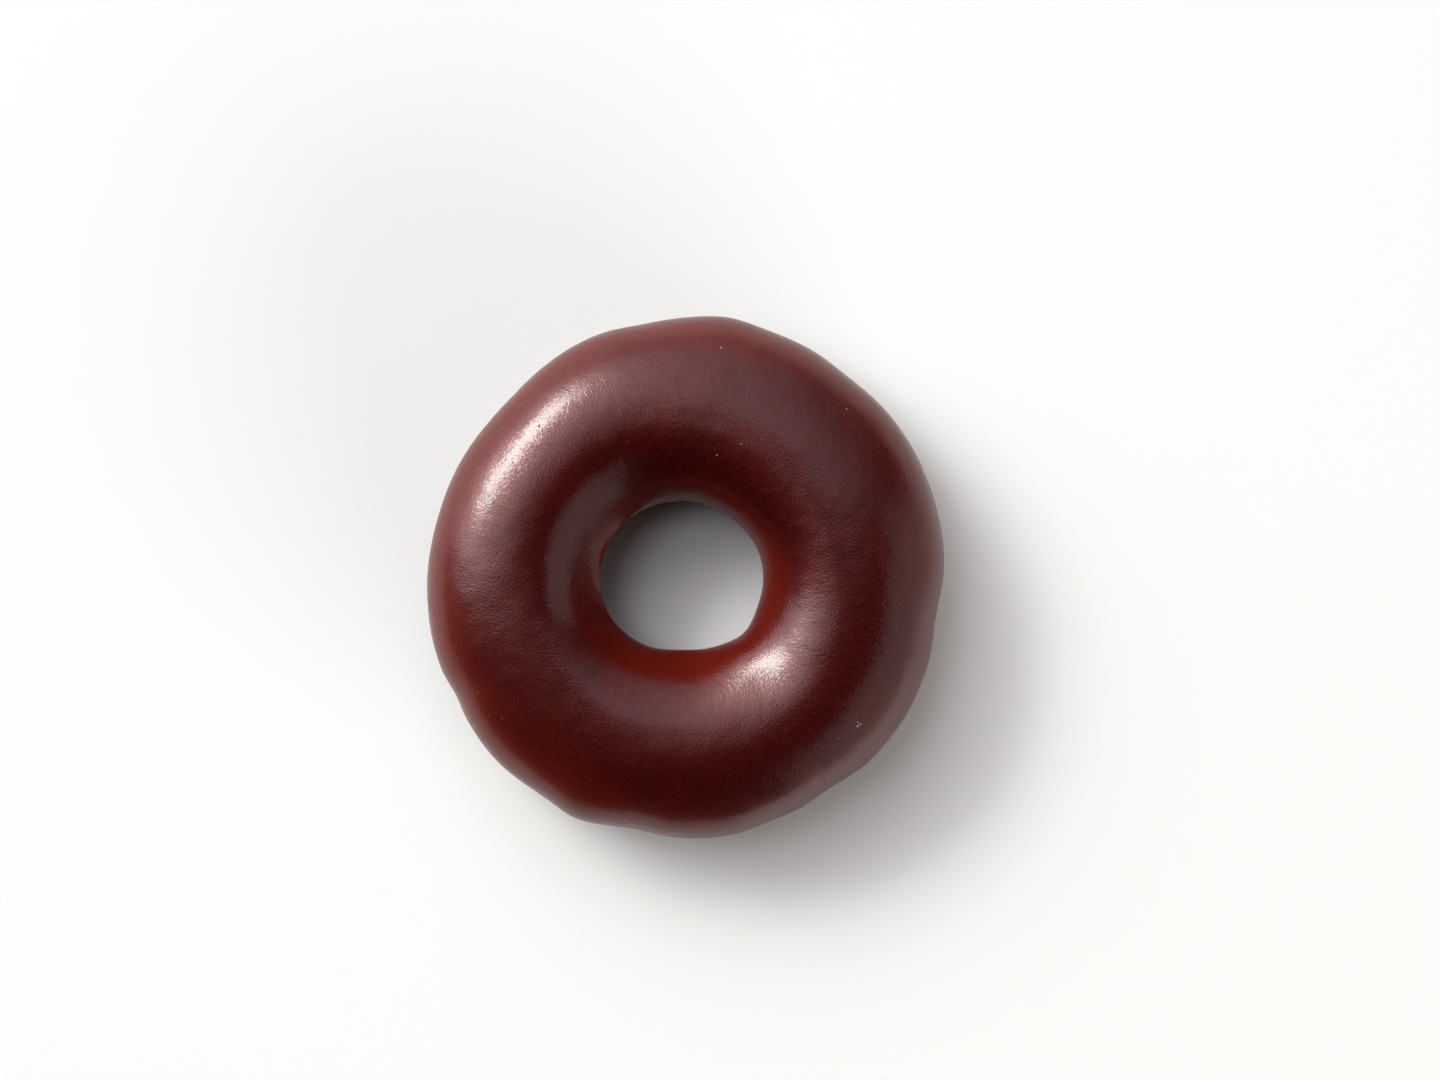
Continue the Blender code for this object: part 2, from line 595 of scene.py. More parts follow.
@dataclass(frozen=True)
class CrystalFinish:
    """A sugar crystal, or a single speck of painted glint or painted shade.

    Attributes:
        name: The material's name.
        colour: Its colour where it is palest.
        roughness: How blurred its shine is.
        mottle: How wide its paler and darker parts are.
        depth: Its colour where it is darkest, as a share of the palest.
    """

    name: str = "sugar_crystal"
    colour: Rgb = (0.30, 0.13, 0.09)
    roughness: float = 0.35
    mottle: float = 0.6 * MM
    depth: float = 0.4

    def material(self) -> bpy.types.Material:
        """Makes the crystal's material."""
        material, desk, shader = new_material(self.name)
        at = desk.add("ShaderNodeTexCoord").outputs["Object"]
        darkest = (*(self.depth * part for part in self.colour), 1.0)
        colour = desk.mix(desk.noise(at, self.mottle), darkest, (*self.colour, 1.0))
        desk.feed(shader, {"Base Color": colour, "Roughness": self.roughness})
        return material


@dataclass
class GlazedRing:
    """The doughnut's whole coated surface, a closed ring grown from its sizes.

    Attributes:
        rim_radius: The outer rim's radius.
        hole_centre: The hole's centre.
        hole_half_width: Half the hole's size along X.
        hole_half_depth: Half the hole's size along Y.
        ridge_centre: The centre of the ridge, the ring's highest line.
        ridge_radius: The ridge's mean radius.
        ridge_oval: How much longer and shorter the ridge's oval is.
        ridge_oval_azimuth: The way it is longer.
        ridge_lean: How much the ridge rises towards its high side, and sinks across from it.
        ridge_lean_azimuth: Where its high side is.
        ridge_saddle: How much higher the ridge is along X than along Y.
        keel_radius: The radius of the lowest line.
        height: The ridge's mean height.
        equator_height: The height of the widest line.
        base_squash: How deep the base is pressed flat.
        base_rounding: How softly the flat base turns up.
        base_straight: The height where its rounding has no effect any more, in roundings.
        base_cut: The depth of the round section that is cut level, in roundings.
        shoulder_fullness: How much wider than an ellipse the outer shoulder is.
        shoulder_drop: How much lower than an ellipse it is.
        hole_side_drop: How much lower than an ellipse the hole's side is near its neck.
        swell_fade: How fast the rim's swells die out towards the ridge.
        ring_points: Points round the ring.
        section_points: Points round the section.
        plain_section: The section's radius before the ring is shaped.
        section_share: The shaped section's radius, as a share of the way from the ridge to the rim.
        ripple_height: How deep the glaze's slow ripples are.
        ripple_size: How wide they are.
        ripple_seed: Which ripples they are.
        ripple_level: The noise that leaves the surface where it is; less sinks it.
        ripple_start: The height where the ripples and lumps begin.
        ripple_full: The height where they have their whole depth.
        dapple_height: How deep the skin's small dapples are.
        dapple_size: How wide they are.
        rim_swells: The uneven rim's swells.
        hole_swells: The uneven hole's; a plus widens it.
        drop_swells: How much more, or less, the hole's side drops than elsewhere.
        neck_swells: How far the hole's narrowest line lies above the rim's widest line.
        lumps: The soft lumps and dimples.
        finish: The glaze.
    """

    rim_radius: float = 45.35 * MM
    hole_centre: tuple[float, float, float] = (-0.7 * MM, 0.15 * MM, 0.0)
    hole_half_width: float = 14.1 * MM
    hole_half_depth: float = 13.25 * MM
    ridge_centre: tuple[float, float, float] = (-0.9 * MM, -0.8 * MM, 0.0)
    ridge_radius: float = 28.0 * MM
    ridge_oval: float = 1.1 * MM
    ridge_oval_azimuth: float = 134.0
    ridge_lean: float = 0.9 * MM
    ridge_lean_azimuth: float = 52.0
    ridge_saddle: float = 0.25 * MM
    keel_radius: float = 29.0 * MM
    height: float = 25.5 * MM
    equator_height: float = 13.0 * MM
    base_squash: float = 1.6 * MM
    base_rounding: float = 0.45 * MM
    base_straight: float = 29.0
    base_cut: ClassVar[float] = 2.0
    shoulder_fullness: float = 0.10
    shoulder_drop: float = 0.08
    hole_side_drop: float = 0.3
    swell_fade: float = 1.5
    ring_points: int = 520
    section_points: int = 188
    plain_section: float = 8.0 * MM
    section_share: ClassVar[float] = 0.95
    ripple_height: float = 0.16 * MM
    ripple_size: float = 8.0 * MM
    ripple_seed: float = 3.0
    ripple_level: float = 0.7
    ripple_start: float = 0.5 * MM
    ripple_full: float = 4.0 * MM
    dapple_height: float = 0.10 * MM
    dapple_size: float = 3.2 * MM
    rim_swells: tuple[Swell, ...] = (
        Swell(32, 0.30 * MM, 16),
        Swell(51, -0.25 * MM, 7),
        Swell(64, 0.15 * MM, 8),
        Swell(81, 0.75 * MM, 8),
        Swell(100, -0.35 * MM, 6),
        Swell(136, -1.40 * MM, 17),
        Swell(162, -0.70 * MM, 16),
        Swell(198, 0.25 * MM, 12),
        Swell(207, -0.45 * MM, 4),
        Swell(224, 0.60 * MM, 10),
        Swell(245, 0.80 * MM, 6),
        Swell(259, -0.60 * MM, 6),
        Swell(277, 0.25 * MM, 8),
        Swell(291, -0.45 * MM, 6),
        Swell(304, -0.85 * MM, 7),
        Swell(336, -0.20 * MM, 5),
        Swell(351, -1.10 * MM, 9),
    )
    hole_swells: tuple[Swell, ...] = (
        Swell(48, -0.35 * MM, 20),
        Swell(205, 0.25 * MM, 22),
        Swell(270, -0.65 * MM, 20),
        Swell(318, 0.75 * MM, 14),
    )
    drop_swells: tuple[Swell, ...] = (
        Swell(50, -0.25, 40),
        Swell(160, 0.45, 42),
        Swell(210, 0.35, 45),
        Swell(272, 0.30, 18),
        Swell(312, -0.35, 18),
    )
    neck_swells: tuple[Swell, ...] = (Swell(158, 5.0 * MM, 48),)
    lumps: tuple[Lump, ...] = (
        Lump(143, 55, -0.45 * MM, 9.0 * MM),
        Lump(313, 118, -0.42 * MM, 5.5 * MM),
        Lump(40, 45, -0.15 * MM, 6.0 * MM),
        Lump(205, 40, -0.15 * MM, 5.0 * MM),
        Lump(240, 30, 0.15 * MM, 5.0 * MM),
        Lump(344, 24, -0.20 * MM, 6.0 * MM),
    )
    finish: GlazeFinish = field(default_factory=GlazeFinish)

    def swell_tree(self) -> bpy.types.NodeTree:
        """Makes a group that gives one swell's height at an azimuth."""
        desk = number_tree("Swell", "Azimuth", "Centre", "Height", "Half Width")
        given = desk.given()
        share = desk.turn_from(given["Azimuth"], given["Centre"]) / given["Half Width"]
        bell = desk.math("EXPONENT", share * share * -1.0)
        return desk.end_with(bell * given["Height"])

    def lump_tree(self) -> bpy.types.NodeTree:
        """Makes a group that gives one lump's height at a point of the ring."""
        sizes = ("Centre", "Tube Centre", "Height", "Half Width", "Half Tube")
        desk = number_tree("Lump", "Azimuth", "Tube", *sizes)
        given = desk.given()
        along = desk.turn_from(given["Azimuth"], given["Centre"]) / given["Half Width"]
        about = desk.turn_from(given["Tube"], given["Tube Centre"]) / given["Half Tube"]
        bell = desk.math("EXPONENT", (along * along + about * about) * -1.0)
        return desk.end_with(bell * given["Height"])

    def swell_sum(
        self, desk: NodeDesk, group: bpy.types.NodeTree, azimuth: Flow, swells: Sequence[Swell]
    ) -> Flow:
        """Adds up swells at an azimuth.

        Args:
            desk: The ring's desk.
            group: The group from swell_tree.
            azimuth: The azimuth.
            swells: The swells.

        Returns:
            Their sum.
        """
        total = desk.zero()
        for swell in swells:
            total = total + desk.group(
                group,
                Azimuth=azimuth,
                Centre=swell.azimuth,
                Height=swell.height,
                Half_Width=swell.half_width,
            )
        return total

    def tree(self, values: dict[str, object]) -> bpy.types.NodeTree:
        """Makes the Geometry Nodes tree that grows the ring.

        Args:
            values: Its inputs by name.

        Returns:
            The tree.
        """
        desk = geometry_tree("Glazed Ring", values)
        given = desk.given()
        x, y, z = desk.split(desk.add("GeometryNodeInputPosition").outputs[0])
        tube = desk.angle(desk.reach(x, y) - given["Ridge Radius"], z)
        keep = desk.add("GeometryNodeCaptureAttribute")
        keep.capture_items.new("FLOAT", "Azimuth")
        keep.capture_items.new("FLOAT", "Tube")
        torus = self.plain_torus(desk, given)
        desk.feed(keep, {"Geometry": torus, "Azimuth": desk.angle(x, y), "Tube": tube})
        azimuth, tube = Flow(desk, keep.outputs["Azimuth"]), Flow(desk, keep.outputs["Tube"])
        shaped = desk.move(keep.outputs["Geometry"], Position=self.form(desk, given, azimuth, tube))
        rippled = self.rippled(desk, given, shaped, azimuth, tube)
        rested = self.rested(desk, given, rippled)
        smooth = desk.add("GeometryNodeSetShadeSmooth", {"Geometry": rested})
        return desk.dress(smooth.outputs[0], given["Glaze"])

    def plain_torus(self, desk: NodeDesk, given: dict[str, Flow]) -> bpy.types.NodeSocket:
        """Adds an even torus: one circle swept along another.

        Args:
            desk: The ring's desk.
            given: The tree's inputs.

        Returns:
            The torus.
        """
        path = {"Resolution": given["Ring Points"], "Radius": given["Ridge Radius"]}
        section = {"Resolution": given["Section Points"], "Radius": given["Plain Section"]}
        sweep = desk.add("GeometryNodeCurveToMesh")
        for name, size in (("Curve", path), ("Profile Curve", section)):
            circle = desk.add("GeometryNodeCurvePrimitiveCircle", size)
            desk.feed(sweep, {name: circle.outputs[0]})
        return sweep.outputs[0]

    def form(
        self, desk: NodeDesk, given: dict[str, Flow], azimuth: Flow, tube: Flow
    ) -> bpy.types.NodeSocket:
        """The ring's surface before its ripples and its flat base.

        Args:
            desk: The ring's desk.
            given: The tree's inputs.
            azimuth: Each point's azimuth.
            tube: Each point's tube angle.

        Returns:
            Each point's place.
        """
        group = self.swell_tree()
        a = desk.math("RADIANS", azimuth)
        t = desk.math("RADIANS", tube)
        out_x, out_y = desk.math("COSINE", a), desk.math("SINE", a)
        across, up = desk.math("COSINE", t), desk.math("SINE", t)
        full = desk.math("GREATER_THAN", across, 0.0) * up * up * given["Shoulder Fullness"]
        reach = desk.math("ABSOLUTE", across) * (full + 1.0)
        twist = desk.math("RADIANS", (azimuth - given["Ridge Oval Azimuth"]) * 2.0)
        ridge = given["Ridge Radius"] + given["Ridge Oval"] * desk.math("COSINE", twist)
        fade = desk.math("POWER", desk.math("MAXIMUM", across, 0.0), given["Swell Fade"])
        rim = given["Rim Radius"] + self.swell_sum(desk, group, azimuth, self.rim_swells) * fade
        width, depth = given["Hole Half Width"], given["Hole Half Depth"]
        spread = desk.math("SQRT", depth * depth * out_x * out_x + width * width * out_y * out_y)
        hole = width * depth / spread + self.swell_sum(desk, group, azimuth, self.hole_swells)
        hole_centre, ridge_centre = desk.split(given["Hole Centre"]), desk.split(given["Ridge Centre"])
        places = []
        for out, hole_at, ridge_at in zip((out_x, out_y), hole_centre, ridge_centre):
            crest = desk.choose(up, ridge_at + out * ridge, out * given["Keel Radius"])
            edge = desk.choose(across, out * rim, hole_at + out * hole)
            places.append(crest + (edge - crest) * reach)
        square = across * across
        neck = self.swell_sum(desk, group, azimuth, self.neck_swells) * square
        base = given["Equator Height"] + desk.choose(across, 0.0, neck)
        hole_drop = given["Hole Side Drop"] + self.swell_sum(desk, group, azimuth, self.drop_swells)
        lost = desk.choose(across, square * given["Shoulder Drop"], square * square * hole_drop)
        lift = desk.choose(up, up * (1.0 - lost), up)
        leaning = desk.math("COSINE", desk.math("RADIANS", azimuth - given["Ridge Lean Azimuth"]))
        saddle = desk.math("COSINE", a * 2.0) * given["Ridge Saddle"]
        above = given["Height"] + leaning * given["Ridge Lean"] + saddle - base
        rise = desk.choose(up, above, base + given["Base Squash"])
        return desk.join(*places, base + rise * lift)

    def rippled(
        self,
        desk: NodeDesk,
        given: dict[str, Flow],
        shape: bpy.types.NodeSocket,
        azimuth: Flow,
        tube: Flow,
    ) -> bpy.types.NodeSocket:
        """Adds the lumps, and the slow ripples that set glaze has.

        Args:
            desk: The ring's desk.
            given: The tree's inputs.
            shape: The smooth ring.
            azimuth: Each point's azimuth.
            tube: Each point's tube angle.

        Returns:
            The rippled ring.
        """
        group = self.lump_tree()
        section_radius = (self.rim_radius - self.ridge_radius) * self.section_share
        lumps = desk.zero()
        for lump in self.lumps:
            far = self.ridge_radius + section_radius * math.cos(math.radians(lump.tube))
            lumps = lumps + desk.group(
                group,
                Azimuth=azimuth,
                Tube=tube,
                Centre=lump.azimuth,
                Tube_Centre=lump.tube,
                Height=lump.height,
                Half_Width=math.degrees(lump.radius / far),
                Half_Tube=math.degrees(lump.radius / section_radius),
            )
        position = desk.add("GeometryNodeInputPosition").outputs[0]
        ripples = desk.zero()
        for kind in ("Ripple", "Dapple"):
            wave = desk.noise(position, given[f"{kind} Size"], fourth=given["Ripple Seed"])
            ripples = ripples + (wave - given["Ripple Level"]) * given[f"{kind} Height"]
        _, _, z = desk.split(position)
        off_base = desk.smooth(z, given["Ripple Start"], given["Ripple Full"])
        normal = desk.add("GeometryNodeInputNormal").outputs[0]
        push = desk.vector("SCALE", {0: normal, "Scale": (lumps + ripples) * off_base})
        return desk.move(shape, Offset=push)

    def rested(
        self, desk: NodeDesk, given: dict[str, Flow], shape: bpy.types.NodeSocket
    ) -> bpy.types.NodeSocket:
        """Flattens what would sink below the table, with a small rounding.

        Args:
            desk: The ring's desk.
            given: The tree's inputs.
            shape: The rippled ring.

        Returns:
            The ring with its flat base.
        """
        x, y, z = desk.split(desk.add("GeometryNodeInputPosition").outputs[0])
        rounding, straight = given["Base Rounding"], given["Base Straight"]
        steep = desk.math("MINIMUM", z / rounding, straight + 1.0)
        lifted = desk.math("LOGARITHM", desk.math("EXPONENT", steep) + 1.0, math.e) * rounding
        least = rounding * math.log1p(math.exp(-self.base_cut))
        height = desk.choose(z / rounding - straight, z, lifted)
        return desk.move(shape, Position=desk.join(x, y, desk.math("MAXIMUM", height - least, 0.0)))

    def build(self) -> bpy.types.Object:
        """Grows the ring, centres it as the solid is, and puts it in the solid's place."""
        values = sizes_of(self) | {"Glaze": self.finish.material()}
        ring = grow(self.tree(values), "glazed_ring", values)
        self.centre(ring.data)
        return fit_to_root(ring, NODE)

    def centre(self, mesh: bpy.types.Mesh) -> None:
        """Moves the mesh level until its box is over the CAD solid's box, and points its faces out.

        Args:
            mesh: The ring's mesh.
        """
        low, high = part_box(NODE)
        for axis in (0, 1):
            values = [vertex.co[axis] for vertex in mesh.vertices]
            shift = (low[axis] + high[axis] - min(values) - max(values)) / 2
            for vertex in mesh.vertices:
                vertex.co[axis] += shift
        work = bmesh.new()
        work.from_mesh(mesh)
        if work.calc_volume(signed=True) < 0:
            bmesh.ops.reverse_faces(work, faces=work.faces)
            work.to_mesh(mesh)
        work.free()


def put_grains(
    desk: NodeDesk, given: dict[str, Flow], points: object, rotation: object, length: Flow, rounds: int
) -> bpy.types.NodeSocket:
    """Puts one long, slim and flat grain at each point.

    Args:
        desk: The tree's desk.
        given: The tree's inputs, with the grains' Slimness and Flatness.
        points: The points.
        rotation: How each grain lies.
        length: Half of each grain's length.
        rounds: How often its ball is divided.

    Returns:
        The grains.
    """
    ball = desk.add("GeometryNodeMeshIcoSphere", {"Radius": 1.0, "Subdivisions": rounds})
    size = desk.join(length, length * given["Slimness"], length * given["Flatness"])
    put = desk.add("GeometryNodeInstanceOnPoints", {"Points": points, "Instance": ball.outputs[0]})
    desk.feed(put, {"Rotation": rotation, "Scale": size})
    return put.outputs[0]


@dataclass
class SugarCrystals:
    """Tiny pale crystals half sunk in the glaze, scattered by Geometry Nodes.

    Attributes:
        per_square_metre: How many there are.
        least: The smallest one's radius.
        most: The largest one's radius.
        slimness: How wide each one is, as a share of its length.
        flatness: How thick each one is, as a share of its length.
        none_below: The height below which there are none.
        all_above: The height above which there are as many as anywhere.
        seed: Which places they take.
        finish: Their finish.
    """

    per_square_metre: float = 6000.0
    least: float = 0.05 * MM
    most: float = 0.11 * MM
    slimness: float = 0.8
    flatness: float = 0.45
    none_below: float = 4.0 * MM
    all_above: float = 6.0 * MM
    seed: int = 11
    finish: CrystalFinish = field(default_factory=CrystalFinish)

    def tree(self, values: dict[str, object]) -> bpy.types.NodeTree:
        """Makes the Geometry Nodes tree that scatters crystals over a surface.

        Args:
            values: Its inputs by name.

        Returns:
            The tree.
        """
        desk = geometry_tree("Sugar Crystals", values)
        given = desk.given()
        _, _, z = desk.split(desk.add("GeometryNodeInputPosition").outputs[0])
        density = given["Per Square Metre"] * desk.smooth(z, given["None Below"], given["All Above"])
        scatter = desk.add("GeometryNodeDistributePointsOnFaces")
        desk.feed(scatter, {"Mesh": given["Geometry"], "Density": density, "Seed": given["Seed"]})
        size = desk.add("FunctionNodeRandomValue", data_type="FLOAT")
        desk.feed(size, {2: given["Least"], 3: given["Most"], "Seed": given["Seed"]})
        points, rotation = scatter.outputs["Points"], scatter.outputs["Rotation"]
        grains = put_grains(desk, given, points, rotation, Flow(desk, size.outputs[1]), 2)
        return desk.dress(grains, given["Crystal"])

    def build(self, ring: bpy.types.Object) -> bpy.types.Object:
        """Scatters the crystals over the glazed ring.

        Args:
            ring: The glazed ring.

        Returns:
            The crystals.
        """
        values = sizes_of(self) | {"Crystal": self.finish.material()}
        return fit_to_root(grow(self.tree(values), "sugar_crystals", values, ring.data))


@dataclass(frozen=True)
class Speck:
    """One speck on the glaze that stands out by itself.

    Attributes:
        x: Where it is along X.
        y: Where it is along Y.
        radius: Half its length.
        tone: Pale painted glint, or dark painted shade.
        turn: The way it is longest, as an azimuth.
    """

    x: float
    y: float
    radius: float
    tone: Tone
    turn: float = 0.0


@dataclass
class SingleSpecks:
    """The few specks that stand out by themselves, painted glints and painted shade of burst bubbles,
    laid on the glaze from above by Geometry Nodes.

    Attributes:
        specks: The specks.
        slimness: How wide each one is, as a share of its length.
        flatness: How thick each one is, as a share of its length.
        above: The height that they are let down from.
        finishes: The finish of each tone.
    """

    specks: tuple[Speck, ...] = (
        Speck(29.77 * MM, -25.62 * MM, 0.26 * MM, Tone.PALE, 30.0),
        Speck(30.25 * MM, -25.28 * MM, 0.22 * MM, Tone.PALE, 48.0),
        Speck(29.77 * MM, -24.95 * MM, 0.13 * MM, Tone.PALE),
        Speck(29.95 * MM, -25.20 * MM, 0.20 * MM, Tone.DARK, 42.0),
        Speck(6.19 * MM, 39.72 * MM, 0.17 * MM, Tone.PALE, 75.0),
        Speck(27.85 * MM, 29.14 * MM, 0.17 * MM, Tone.PALE, 20.0),
        Speck(9.63 * MM, 22.96 * MM, 0.14 * MM, Tone.PALE, 120.0),
        Speck(5.50 * MM, 21.09 * MM, 0.13 * MM, Tone.PALE),
        Speck(-25.20 * MM, 26.12 * MM, 0.26 * MM, Tone.DARK, 45.0),
        Speck(34.64 * MM, 7.66 * MM, 0.24 * MM, Tone.DARK, 80.0),
        Speck(-8.26 * MM, -23.82 * MM, 0.26 * MM, Tone.DARK, 10.0),
    )
    slimness: float = 0.6
    flatness: float = 0.35
    above: float = 60.0 * MM
    finishes: dict[Tone, CrystalFinish] = field(
        default_factory=lambda: {
            # Pale specks are painted glints on burst bubbles' rims, and dark specks are painted shade in
            # their pits.
            Tone.PALE: CrystalFinish("pale_speck", (0.46, 0.36, 0.32)),
            Tone.DARK: CrystalFinish("dark_speck", (0.012, 0.003, 0.003), 0.6),
        }
    )

    def tree(self, values: dict[str, object]) -> bpy.types.NodeTree:
        """Makes the Geometry Nodes tree that lets points down onto the ring and puts a speck at each.

        Args:
            values: Its inputs by name.

        Returns:
            The tree.
        """
        desk = geometry_tree("Single Specks", values)
        given = desk.given()
        ring = desk.add("GeometryNodeObjectInfo", {"Object": given["Ring"]}, transform_space="ORIGINAL")
        fall = desk.add("GeometryNodeRaycast", {"Target Geometry": ring.outputs["Geometry"]})
        desk.feed(fall, {"Ray Direction": (0.0, 0.0, -1.0), "Ray Length": given["Above"]})
        facing = desk.add("GeometryNodeCaptureAttribute")
        facing.capture_items.new("VECTOR", "Facing")
        desk.feed(facing, {"Geometry": given["Geometry"], "Facing": fall.outputs["Hit Normal"]})
        landed = desk.move(facing.outputs["Geometry"], Position=fall.outputs["Hit Position"])
        turn = desk.join(0.0, 0.0, self.stored(desk, "turn"))
        turned = desk.add("FunctionNodeEulerToRotation", {0: turn})
        upright = desk.add("FunctionNodeAlignRotationToVector", axis="Z")
        desk.feed(upright, {"Rotation": turned.outputs[0], "Vector": facing.outputs["Facing"]})
        length = self.stored(desk, "length")
        grains = put_grains(desk, given, landed, upright.outputs[0], length, 3)
        return desk.dress(grains, given["Speck"])

    def stored(self, desk: NodeDesk, name: str) -> Flow:
        """A number that each point carries."""
        node = desk.add("GeometryNodeInputNamedAttribute", {"Name": name}, data_type="FLOAT")
        return Flow(desk, node.outputs[0])

    def points(self, specks: Sequence[Speck]) -> bpy.types.Mesh:
        """Makes a mesh of one point over each speck's place.

        Args:
            specks: The specks.

        Returns:
            The mesh, whose points carry their speck's length and turn.
        """
        mesh = bpy.data.meshes.new("speck_points")
        mesh.from_pydata([(speck.x, speck.y, self.above) for speck in specks], [], [])
        length = mesh.attributes.new("length", "FLOAT", "POINT")
        turn = mesh.attributes.new("turn", "FLOAT", "POINT")
        for index, speck in enumerate(specks):
            length.data[index].value = speck.radius
            turn.data[index].value = math.radians(speck.turn)
        return mesh

    def build(self, ring: bpy.types.Object) -> None:
        """Lays the specks on the glazed ring, one piece for each tone.

        Args:
            ring: The glazed ring.
        """
        for tone, finish in self.finishes.items():
            values = sizes_of(self) | {"Ring": ring, "Speck": finish.material()}
            chosen = [speck for speck in self.specks if speck.tone is tone]
            fit_to_root(grow(self.tree(values), f"{tone.value}_specks", values, self.points(chosen)))


@dataclass(frozen=True)
class Glow:
    """A patch of light in the room, round or by the compass.

    Attributes:
        azimuth: Where its middle is, turning from +X towards +Y.
        zenith: How far its middle is from straight up.
        spread: How wide it is, as an angle from its middle.
        softness: How soft its edge is.
        radiance: How bright it is.
        colour: Its colour.
    """

    azimuth: float
    zenith: float
    spread: float
    softness: float
    radiance: float
    colour: Rgb = (1.0, 1.0, 1.0)

    def towards(self) -> Vector:
        """The direction of its middle."""
        azimuth, zenith = math.radians(self.azimuth), math.radians(self.zenith)
        return Vector(
            (math.sin(zenith) * math.cos(azimuth), math.sin(zenith) * math.sin(azimuth), math.cos(zenith))
        )


@dataclass(frozen=True)
class Studio:
    """The table top, the lamps and the camera.

    Attributes:
        camera_height: How high the camera is over the widest line of the ring.
        view_width: How much of the table the picture is wide.
        view_centre: The point under the camera.
        equator_height: The height of the widest line.
        sensor: The width of the camera's sensor, in millimetres.
        clip: The nearest and the farthest that the camera sees.
        table_half: Half the table top's width.
        table_colour: The table top's colour.
        table_roughness: How blurred its shine is.
        table_shine: How strong it is.
        key: The key lamp: its place, its half width and its half height as spread and softness.
        key_distance: How far away it is.
        fill: The weak low fill lamp at the lower right, for the table alone.
        top_fill: The weak overhead fill lamp, for the table alone too.
        sky_fill: The broad fill lamp in the scrim's direction, for the table alone too.
        fill_distance: How far away the fill lamps are.
        halo: The glow of the sheet in front of the key lamp.
        scrim: The broad scrim over the far side of the table.
        scrim_fade: How fast the scrim dims towards +X.
        scrim_gain: How fast it brightens towards -X.
        scrim_foot: How dim it is near the table, as a share.
        scrim_foot_band: The upward parts of the directions where it begins to brighten, and is bright.
        shade: The dark overhead patch where the camera and its arm are.
        card: The white card at the right.
        spill: How much of the scrim's and the card's light reaches matt surfaces, as a share.
        card_top: The card's upper edge, as an angle from straight up.
        room: The colour of the dark rest of the room.
        backdrop: What the camera sees beyond the table.
    """

    camera_height: float = 850.0 * MM
    view_width: float = 251.2 * MM
    view_centre: tuple[float, float] = (6.0 * MM, 6.5 * MM)
    equator_height: float = 13.2 * MM
    sensor: float = 36.0
    clip: tuple[float, float] = (0.01, 20.0)
    table_half: float = 2.2
    table_colour: Rgb = (0.506, 0.460, 0.443)
    table_roughness: float = 0.6
    table_shine: float = 0.2
    key: Glow = Glow(142, 53.5, 14.5, 6.5, 21.0, (0.81, 1.0, 0.97))
    key_distance: float = 2.2
    halo: Glow = Glow(142, 52.5, 8.0, 0.0, 21.0, (0.91, 1.0, 0.98))
    fill: Glow = Glow(312, 77, 26.0, 12.0, 12.4, (0.95, 1.0, 0.98))
    top_fill: Glow = Glow(150, 18, 10.0, 10.0, 4.4, (0.85, 0.98, 1.09))
    sky_fill: Glow = Glow(107, 50, 20.0, 20.0, 2.6, (0.92, 0.99, 1.04))
    fill_distance: float = 1.4
    scrim: Glow = Glow(107, 65, 64, 4.5, 1.37, (0.97, 1.0, 1.09))
    scrim_fade: float = 3.3
    scrim_gain: float = 1.1
    scrim_foot: float = 0.55
    scrim_foot_band: tuple[float, float] = (0.10, 0.53)
    shade: Glow = Glow(108, 8.5, 7.0, 3.5, 0.9)
    card: Glow = Glow(-22, 90, 41, 9.0, 0.82, (1.02, 1.0, 0.97))
    spill: float = 0.5
    card_top: float = 42.0
    room: Rgb = (0.01, 0.01, 0.01)
    backdrop: Rgb = (0.82, 0.82, 0.81)

    def camera(self) -> None:
        """Puts the camera straight above the table, looking down with +Y up in the picture."""
        data = bpy.data.cameras.new("camera")
        data.sensor_width = self.sensor
        data.lens = self.sensor * self.camera_height / self.view_width
        data.clip_start, data.clip_end = self.clip
        camera = bpy.data.objects.new("camera", data)
        camera.location = (*self.view_centre, self.camera_height + self.equator_height)
        bpy.context.scene.collection.objects.link(camera)
        bpy.context.scene.camera = camera

    def table(self) -> bpy.types.Object:
        """A plain pale table top."""
        mesh = bpy.data.meshes.new("table_top")
        half = self.table_half
        corners = [(-half, -half, 0.0), (half, -half, 0.0), (half, half, 0.0), (-half, half, 0.0)]
        mesh.from_pydata(corners, [], [(0, 1, 2, 3)])
        table = bpy.data.objects.new("table_top", mesh)
        bpy.context.scene.collection.objects.link(table)
        material, desk, shader = new_material("pale_table")
        shine = {"Roughness": self.table_roughness, "Specular IOR Level": self.table_shine}
        desk.feed(shader, {"Base Color": (*self.table_colour, 1.0)} | shine)
        mesh.materials.append(material)
        return table

    def lamp(self, name: str, glow: Glow, distance: float, only: bpy.types.Object | None = None) -> None:
        """Puts up a lamp that faces the doughnut.

        Args:
            name: The lamp's name.
            glow: Its place and light, with its half width and half height as spread and softness.
            distance: How far away it is.
            only: The one object that it lights, or nothing if it lights them all.
        """
        data = bpy.data.lights.new(name, "AREA")
        data.shape = "RECTANGLE"
        data.size = 2.0 * distance * math.tan(math.radians(glow.spread))
        data.size_y = 2.0 * distance * math.tan(math.radians(glow.softness))
        data.color = glow.colour
        data.energy = glow.radiance * math.pi * data.size * data.size_y
        lamp = bpy.data.objects.new(name, data)
        away = glow.towards()
        lamp.location = away * distance
        lamp.rotation_euler = away.to_track_quat("Z", "Y").to_euler()
        bpy.context.scene.collection.objects.link(lamp)
        if only is not None:
            lit = bpy.data.collections.new(f"{name}_lights")
            lit.objects.link(only)
            lamp.light_linking.receiver_collection = lit

